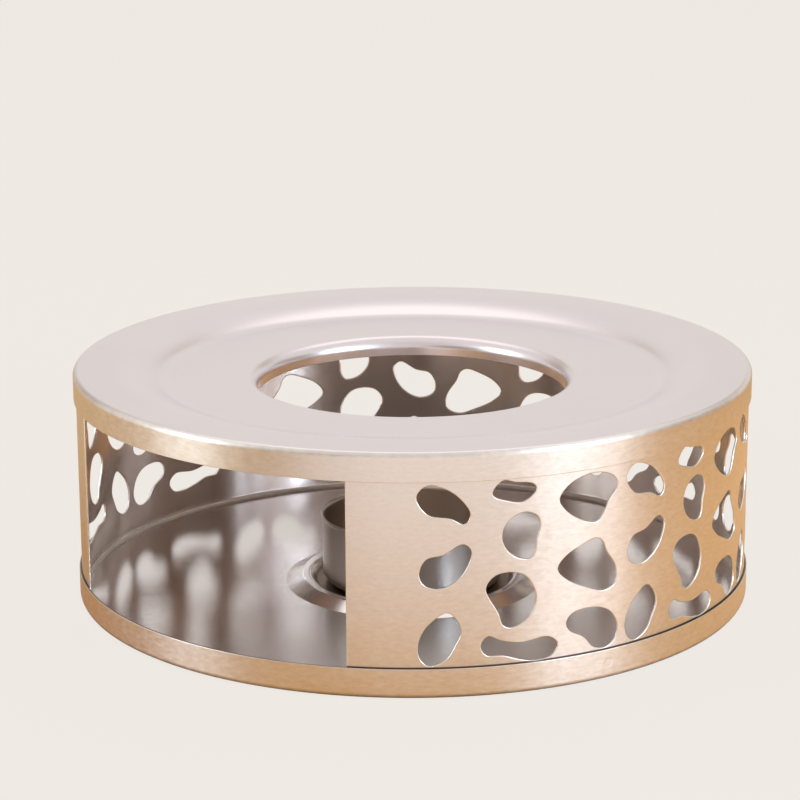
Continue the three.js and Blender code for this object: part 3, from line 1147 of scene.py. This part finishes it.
def table_material():
    """A warm table top: in its own shadow on the left, and paler with the distance in front."""
    material = bpy.data.materials.new("table_card")
    material.use_nodes = True
    graph = Graph(material.node_tree)
    place = graph.node("ShaderNodeTexCoord", output="Object")
    x = graph.node("ShaderNodeSeparateXYZ", None, {0: place}, "X")
    y = graph.node("ShaderNodeSeparateXYZ", None, {0: place}, "Y")
    reach = graph.node("ShaderNodeMath", {"operation": "SQRT"}, {0: x * x + y * y})
    gap = reach - OUTER_RADIUS
    angle = graph.node("ShaderNodeMath", {"operation": "ARCTAN2"}, {0: x, 1: 0 - y})
    to_right = smooth_step(graph, x / reach, LEFT_TO_RIGHT)
    turned_away = graph.node("ShaderNodeMath", {"operation": "ABSOLUTE"}, {0: angle})
    in_front = 1 - smooth_step(graph, turned_away, FRONT_EDGE)

    def mix(share, first, second):
        inputs = {"Factor": share, MIX_COLOUR_A: first, MIX_COLOUR_B: second}
        return graph.node("ShaderNodeMix", {"data_type": "RGBA"}, inputs, MIX_COLOUR_RESULT)

    def near_to_far(side):
        stops = [(distance * MM / TABLE_REACH, colour) for distance, colour in TABLE_COLOURS[side]]
        return graph.node("ShaderNodeValToRGB", {"stops": stops}, {0: gap / TABLE_REACH})

    sides = mix(to_right, near_to_far("left"), near_to_far("right"))
    lit = mix(in_front, sides, near_to_far("front"))
    under = smooth_step(graph, gap, SHADOW_EDGE)
    colour = mix(under, lit, (*SHADOW, 1.0))
    glow = graph.node("ShaderNodeEmission", None, {"Color": colour, "Strength": 1.0})
    graph.node("ShaderNodeOutputMaterial", None, {"Surface": glow})
    return material


table_card = flat_mesh("table_card", square(TABLE_HALF, TABLE_HEIGHT))
table_card.data.materials.append(table_material())
reflected_only(table_card)
print("table card", 2 * TABLE_HALF, "m wide")

# %% Upright cards


def card_material(name, colour):
    """A plain glowing surface."""
    material = bpy.data.materials.new(name)
    material.use_nodes = True
    graph = Graph(material.node_tree)
    glow = graph.node("ShaderNodeEmission", None, {"Color": (*colour, 1.0), "Strength": 1.0})
    graph.node("ShaderNodeOutputMaterial", None, {"Surface": glow})
    return material


def upright_card(name, start, end, heights, colour):
    """A plain upright card over a line on the floor, from its lower to its upper height."""
    bottom, top = heights
    card = flat_mesh(name, [(*start, bottom), (*end, bottom), (*end, top), (*start, top)])
    card.data.materials.append(card_material(name, colour))
    reflected_only(card)
    print(name, "from", start, "to", end)


DARK = (0.27, 0.23, 0.19)
DUSK = (0.36, 0.32, 0.28)
GREY = (0.45, 0.40, 0.35)
LIGHT_GREY = (0.50, 0.44, 0.38)
WARM_GREY = (0.52, 0.45, 0.35)
LIGHT = (0.75, 0.70, 0.65)
upright_card("front_card", (-0.70, -0.9), (0.42, -0.9), (0.3, 1.4), LIGHT)
upright_card("front_left_card", (-0.85, -0.46), (-0.26, -0.92), (0.05, 0.4), DARK)
upright_card("right_card", (0.92, -0.24), (0.92, 0.24), (0.08, 0.45), DUSK)
upright_card("right_back_card", (0.92, 0.24), (0.74, 0.60), (0.05, 0.45), GREY)
upright_card("left_back_card", (-0.82, 0.57), (-0.42, 0.91), (0.10, 0.50), LIGHT_GREY)
upright_card("back_card_left", (-0.85, 1.0), (-0.22, 1.0), (0.45, 0.75), WARM_GREY)
upright_card("back_card_right", (0.22, 1.0), (0.85, 1.0), (0.45, 0.75), WARM_GREY)

# %% Lights


def soft_light(name, place, aim, size, radiance, colour):
    """A rectangular soft light, given by its width and height and by how bright its face looks."""
    width, height = size
    lamp = bpy.data.lights.new(name, "AREA")
    lamp.shape = "RECTANGLE"
    lamp.color = colour
    lamp.size = width
    lamp.size_y = height
    lamp.energy = radiance * math.pi * width * height
    made = bpy.data.objects.new(name, lamp)
    made.location = place
    made.rotation_euler = (Vector(aim) - Vector(place)).to_track_quat("-Z", "Y").to_euler()
    bpy.context.scene.collection.objects.link(made)
    print(name, round(lamp.energy, 3), "W")


def around(angle, distance, height):
    """A place given by its angle from the front in degrees, its distance and its height."""
    turn_to = math.radians(angle)
    return (distance * math.sin(turn_to), -distance * math.cos(turn_to), height)


ABOVE = (0, 0.40, 0.80)
WARMER = (0, 0, 0.05)
CHAMBER = (0, 0, 0.03)
NEUTRAL = (1.0, 0.99, 0.95)
COOL = (0.73, 0.90, 1.07)
FAINTLY_COOL = (0.86, 0.96, 1.0)
soft_light("top_light", ABOVE, WARMER, (0.9, 0.34), 0.54, NEUTRAL)
soft_light("right_light", around(60, 0.8, 0.28), CHAMBER, (0.31, 0.46), 3.6, COOL)
soft_light("right_strip", around(44, 0.8, 0.28), CHAMBER, (0.16, 0.20), 5.2, COOL)
soft_light("right_spot", around(46, 0.8, 0.275), CHAMBER, (0.12, 0.07), 22.0, COOL)
soft_light("left_light", around(-75, 0.8, 0.28), CHAMBER, (0.32, 0.46), 3.75, FAINTLY_COOL)
